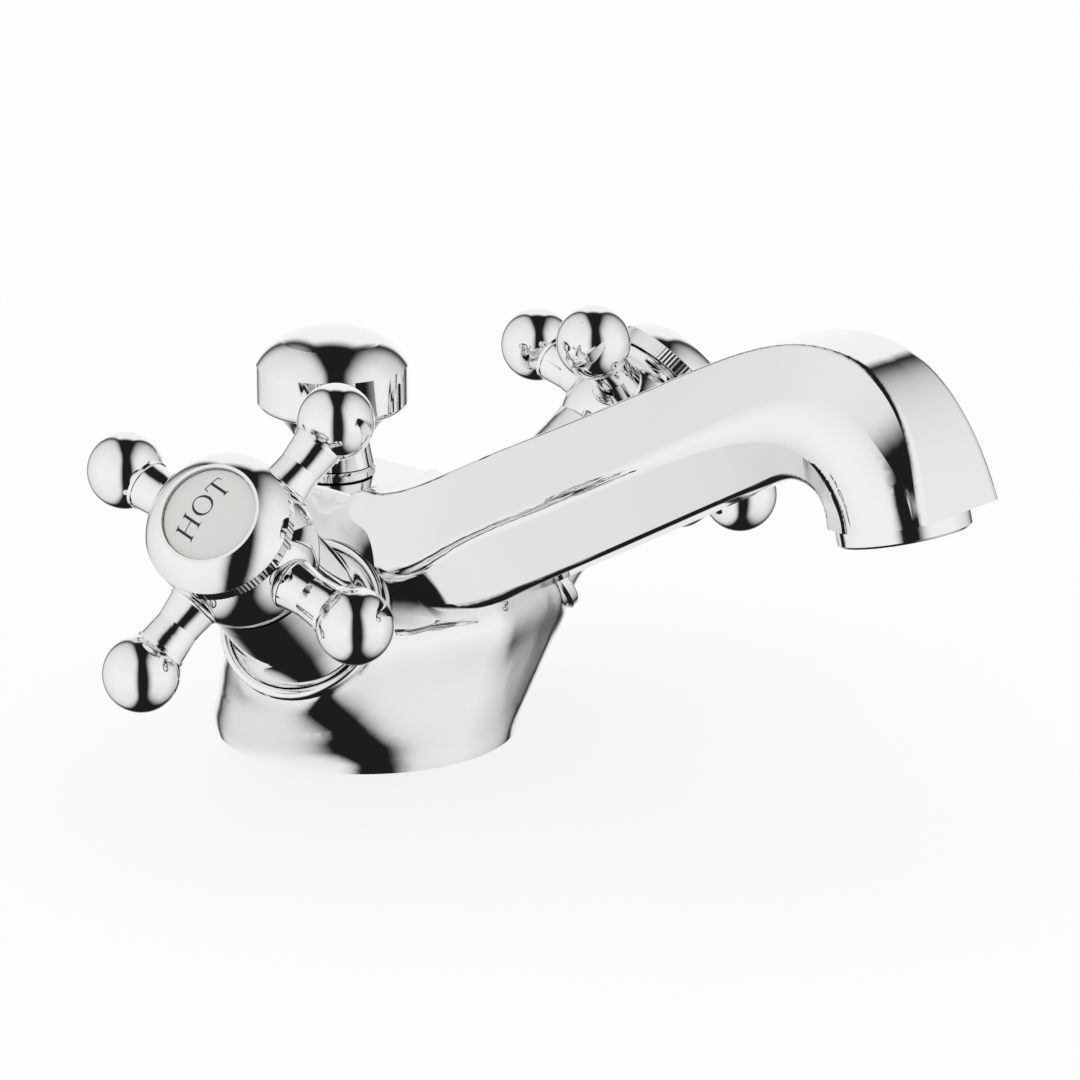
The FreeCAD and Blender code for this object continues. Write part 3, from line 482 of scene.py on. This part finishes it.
def letter_c(x, settings):
    gap = settings.round_width * C_GAP_SHARE
    middle = settings.cap_height / 2
    opening = settings.cap_height * C_ARM_SHARE * C_OPEN_SHARE
    ring = round_stroke(x, settings, keep=lambda co: co.x - x < gap or abs(co.y - middle) > opening)
    tips = []
    for sign in (-1, 1):
        tips.append(flat_bar((x + gap * C_TIP_OUT_SHARE, middle + sign * opening),
                             settings.hairline * C_TIP_W_SHARE, settings.serif * C_TIP_H_SHARE))
    return ring + tips


def letter_l(x, settings):
    foot = drooped_bar(x + L_FOOT_RIGHT, L_FOOT_HALF_WIDTH, settings.hairline / 2, 1, settings)
    return stem(x - L_STEM_LEFT, settings) + [foot]


def letter_d(x, settings):
    bowl = round_stroke(x - D_BOWL_LEFT, settings, keep=lambda co: co.x > x - D_CUT_LEFT)
    joins = []
    for y in (settings.hairline / 2, settings.cap_height - settings.hairline / 2):
        joins.append(flat_bar((x - D_JOIN_LEFT, y), D_JOIN_WIDTH, settings.hairline))
    return stem(x - D_STEM_LEFT, settings) + bowl + joins


# Each letter and its place along the word, in millimetres
HOT_WORD = ((letter_h, -3.93), (letter_o, 0.72), (letter_t, 4.80))
COLD_WORD = ((letter_c, -5.35), (letter_o, -0.95), (letter_l, 2.80), (letter_d, 6.05))
COLD_SPACING = 0.86
INLAY_CUTS = 2
INLAY_DEPTH_SHARE = 4
INLAY_SUNK = -0.5


def arch_word(piece, settings):
    """Slide each part of the word up or down onto a shallow arch, with its stems left parallel."""
    for vertex in piece.data.vertices:
        away = (vertex.co.x - settings.arch_centre) / MM
        vertex.co.y += settings.arch_rise - settings.arch_curve * away * away * MM


def word(name, letters, side, settings, spacing=1.0):
    """One mesh of a whole word, laid into its index plate."""
    pieces = []
    for draw, x in letters:
        pieces += draw(x * MM * spacing, settings)
    clear_selection()
    for piece in pieces:
        piece.select_set(True)
    bpy.context.view_layer.objects.active = pieces[0]
    bpy.ops.object.join()
    piece = bpy.context.object
    piece.name = name
    bpy.ops.object.mode_set(mode="EDIT")
    bpy.ops.mesh.select_all(action="SELECT")
    bpy.ops.mesh.remove_doubles(threshold=settings.hairline * MERGE_SHARE)
    bpy.ops.mesh.subdivide(number_cuts=INLAY_CUTS)
    bpy.ops.mesh.normals_make_consistent(inside=False)
    bpy.ops.object.mode_set(mode="OBJECT")
    arch_word(piece, settings)
    across, along, out = handle_frame(side)
    turn = settings.reading_angle
    rise = -math.sin(turn) * across + math.cos(turn) * along
    read = rise.cross(out)
    root = Vector((AXIS_ROOT.x * side, AXIS_ROOT.y, AXIS_ROOT.z)) + out * PLATE_HEIGHT
    place = Matrix((
        (read.x, rise.x, out.x, root.x), (read.y, rise.y, out.y, root.y),
        (read.z, rise.z, out.z, root.z), (0, 0, 0, 1)))
    solid = piece.modifiers.new("inlay", "SOLIDIFY")
    solid.thickness = INLAY_DEPTH_SHARE * settings.inlay
    solid.offset = INLAY_SUNK
    bpy.ops.object.modifier_apply(modifier="inlay")
    piece.data.transform(place)
    return piece


class TAP_OT_lettering(bpy.types.Operator):
    """Filled serif words on the index plates"""
    bl_idname = "tap.lettering"
    bl_label = "Index lettering"

    def execute(self, context):
        settings = context.scene.tap_lettering
        paint = finish(
            "letter filling", context.scene.tap_finish.lettering, roughness=0.30, haze_scale=800.0,
            tone_change=0.2, roughness_change=0.10)
        hot = word("hot_lettering", HOT_WORD, -1, settings)
        cold = word("cold_lettering", COLD_WORD, 1, settings, spacing=COLD_SPACING)
        for piece, body in ((hot, "hot_handle"), (cold, "cold_handle")):
            piece.data.materials.clear()
            piece.data.materials.append(paint)
            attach(piece, body)
        return {"FINISHED"}


# Light panels round the tap. The half widths, half heights and middle heights are tangents, full and
# edge bound the soft rim, and the fades say how fast the light falls off to each side.
PANELS = (
    {"azimuth": 142.0, "full_u": 1.45, "edge_u": 4.10, "full_v": 2.0, "edge_v": 6.2, "middle_v": 0.0,
     "fade_right": 0.11, "fade_left": 0.0, "fade_up": 0.07, "fade_down": 0.05},
    {"azimuth": 308.3, "full_u": 0.85, "edge_u": 2.30, "full_v": 0.9, "edge_v": 3.6, "middle_v": -0.1,
     "fade_right": 0.0, "fade_left": 0.33, "fade_up": 0.08, "fade_down": 0.15},
    {"azimuth": 40.0, "full_u": 0.33, "edge_u": 0.53, "full_v": 0.6, "edge_v": 1.5, "middle_v": 0.42,
     "fade_right": 0.0, "fade_left": 0.0, "fade_up": 0.0, "fade_down": 0.0},
)
NEAREST_AHEAD = 0.001
FLOOR_GLOW = 0.75
SENSOR_WIDTH = 36.0
CLIP_NEAR = 0.01
CLIP_FAR = 100.0


def math_node(nodes, links, operation, first, second=None, third=None, clamp=False):
    """Output of a new maths node, whose inputs are numbers or other outputs."""
    node = nodes.new("ShaderNodeMath")
    node.operation = operation
    node.use_clamp = clamp
    for index, value in enumerate((first, second, third)):
        if value is None:
            continue
        if isinstance(value, (int, float)):
            node.inputs[index].default_value = value
        else:
            links.new(value, node.inputs[index])
    return node.outputs[0]


def soft_edge(nodes, links, value, inner, outer):
    """1 up to inner, falling smoothly to 0 at outer."""
    ramp = nodes.new("ShaderNodeMapRange")
    ramp.interpolation_type = "SMOOTHSTEP"
    ramp.inputs["From Min"].default_value = inner
    ramp.inputs["From Max"].default_value = outer
    ramp.inputs["To Min"].default_value = 1.0
    ramp.inputs["To Max"].default_value = 0.0
    links.new(value, ramp.inputs["Value"])
    return ramp.outputs["Result"]


def reach_along(nodes, links, heading, way):
    """How far a direction of view points along another."""
    dot = nodes.new("ShaderNodeVectorMath")
    dot.operation = "DOT_PRODUCT"
    dot.inputs[1].default_value = way
    links.new(heading, dot.inputs[0])
    return dot.outputs["Value"]


def panel_light(nodes, links, heading, parts, panel):
    """Light of one soft panel, seen flat on from the tap."""
    turn = math.radians(panel["azimuth"])
    out = reach_along(nodes, links, heading, (math.cos(turn), math.sin(turn), 0))
    across = reach_along(nodes, links, heading, (-math.sin(turn), math.cos(turn), 0))
    ahead = math_node(nodes, links, "MAXIMUM", out, NEAREST_AHEAD)
    side = math_node(nodes, links, "DIVIDE", across, ahead)
    rise = math_node(nodes, links, "DIVIDE", parts.outputs["Z"], ahead)
    rise = math_node(nodes, links, "SUBTRACT", rise, panel["middle_v"])
    wide = soft_edge(nodes, links, math_node(nodes, links, "ABSOLUTE", side),
                     panel["full_u"], panel["edge_u"])
    tall = soft_edge(nodes, links, math_node(nodes, links, "ABSOLUTE", rise),
                     panel["full_v"], panel["edge_v"])
    light = math_node(nodes, links, "MULTIPLY", wide, tall)
    for way, fade in ((side, -panel["fade_right"]), (side, panel["fade_left"]),
                      (rise, panel["fade_up"]), (rise, -panel["fade_down"])):
        if fade:
            loss = math_node(nodes, links, "MAXIMUM", math_node(nodes, links, "MULTIPLY", way, fade), 0.0)
            keep = math_node(nodes, links, "SUBTRACT", 1.0, loss, clamp=True)
            light = math_node(nodes, links, "MULTIPLY", light, keep)
    return light


def studio_world(settings):
    """White all round for the camera, and soft light panels with dark gaps in the reflections."""
    world = bpy.data.worlds.new("studio")
    bpy.context.scene.world = world
    world.use_nodes = True
    world.cycles.sampling_method = "NONE"
    nodes, links = world.node_tree.nodes, world.node_tree.links
    background = nodes["Background"]
    place = nodes.new("ShaderNodeTexCoord")
    heading = place.outputs["Generated"]
    parts = nodes.new("ShaderNodeSeparateXYZ")
    links.new(heading, parts.inputs[0])
    light = None
    for panel in PANELS:
        part = panel_light(nodes, links, heading, parts, panel)
        light = part if light is None else math_node(nodes, links, "ADD", light, part)
    light = math_node(nodes, links, "MINIMUM", light, 1.0)
    level = math_node(nodes, links, "MULTIPLY_ADD", light, 1.0 - settings.dark_tone, settings.dark_tone)
    path = nodes.new("ShaderNodeLightPath")
    mirrored = math_node(nodes, links, "MAXIMUM", path.outputs["Is Glossy Ray"],
                         path.outputs["Is Transmission Ray"])
    mirrored = math_node(nodes, links, "MULTIPLY", mirrored,
                         math_node(nodes, links, "SUBTRACT", 1.0, path.outputs["Is Camera Ray"]))
    mix = nodes.new("ShaderNodeMix")
    mix.data_type = "FLOAT"
    links.new(mirrored, mix.inputs[0])
    mix.inputs[2].default_value = 1.0
    links.new(level, mix.inputs[3])
    links.new(mix.outputs[0], background.inputs["Color"])


def studio_floor(settings):
    """Pale floor that keeps the tap's shadow and is not seen in the chrome."""
    clear_selection()
    bpy.ops.mesh.primitive_plane_add(size=settings.floor_size)
    floor = bpy.context.object
    floor.name = "studio_floor"
    material = bpy.data.materials.new("pale floor")
    material.use_nodes = True
    nodes, links = material.node_tree.nodes, material.node_tree.links
    nodes.remove(nodes["Principled BSDF"])
    matt = nodes.new("ShaderNodeBsdfDiffuse")
    matt.inputs["Color"].default_value = (settings.floor_tone,) * 3 + (1,)
    glow = nodes.new("ShaderNodeEmission")
    path = nodes.new("ShaderNodeLightPath")
    mix = nodes.new("ShaderNodeMixShader")
    seen = math_node(nodes, links, "MULTIPLY", path.outputs["Is Camera Ray"], FLOOR_GLOW)
    links.new(seen, mix.inputs[0])
    links.new(matt.outputs[0], mix.inputs[1])
    links.new(glow.outputs[0], mix.inputs[2])
    links.new(mix.outputs[0], nodes["Material Output"].inputs["Surface"])
    floor.data.materials.append(material)
    floor.visible_glossy = False


def studio_camera(settings):
    """Camera at the place and lens solved for the tap."""
    data = bpy.data.cameras.new("studio camera")
    data.sensor_width = SENSOR_WIDTH
    data.lens = settings.lens
    data.clip_start = CLIP_NEAR
    data.clip_end = CLIP_FAR
    camera = bpy.data.objects.new("studio camera", data)
    bpy.context.scene.collection.objects.link(camera)
    at, aim = Vector(settings.camera_at), Vector(settings.aim)
    camera.location = at
    camera.rotation_euler = (aim - at).to_track_quat("-Z", "Y").to_euler()
    bpy.context.scene.camera = camera


class TAP_OT_studio(bpy.types.Operator):
    """Camera, pale floor and the light panels' reflections"""
    bl_idname = "tap.studio"
    bl_label = "Studio"

    def execute(self, context):
        settings = context.scene.tap_studio
        studio_camera(settings)
        studio_floor(settings)
        studio_world(settings)
        context.scene.view_settings.view_transform = "Standard"
        return {"FINISHED"}


class TAP_PT_panel(bpy.types.Panel):
    """The tap's finishes, lettering and studio"""
    bl_idname = "TAP_PT_panel"
    bl_label = "Basin mixer tap"
    bl_space_type = "VIEW_3D"
    bl_region_type = "UI"
    bl_category = "Tap"

    def draw(self, context):
        for settings in (context.scene.tap_finish, context.scene.tap_lettering, context.scene.tap_studio):
            box = self.layout.box()
            for name in settings.bl_rna.properties.keys():
                if name not in ("rna_type", "name"):
                    box.prop(settings, name)
        for operator in OPERATORS:
            self.layout.operator(operator.bl_idname)


OPERATORS = (TAP_OT_studio, TAP_OT_body, TAP_OT_turned_parts, TAP_OT_handles, TAP_OT_inner_works,
             TAP_OT_lettering)
GROUP_CLASSES = (TapFinish, TapLettering, TapStudio)


def register():
    for cls in GROUP_CLASSES + OPERATORS + (TAP_PT_panel,):
        bpy.utils.register_class(cls)
    bpy.types.Scene.tap_finish = bpy.props.PointerProperty(type=TapFinish)
    bpy.types.Scene.tap_lettering = bpy.props.PointerProperty(type=TapLettering)
    bpy.types.Scene.tap_studio = bpy.props.PointerProperty(type=TapStudio)


def unregister():
    del bpy.types.Scene.tap_finish
    del bpy.types.Scene.tap_lettering
    del bpy.types.Scene.tap_studio
    for cls in (TAP_PT_panel,) + OPERATORS[::-1] + GROUP_CLASSES[::-1]:
        bpy.utils.unregister_class(cls)


def main():
    register()
    clear_selection()
    bpy.ops.tap.studio()
    bpy.ops.tap.body()
    bpy.ops.tap.turned_parts()
    bpy.ops.tap.handles()
    bpy.ops.tap.inner_works()
    bpy.ops.tap.lettering()


if __name__ == "__main__":
    main()
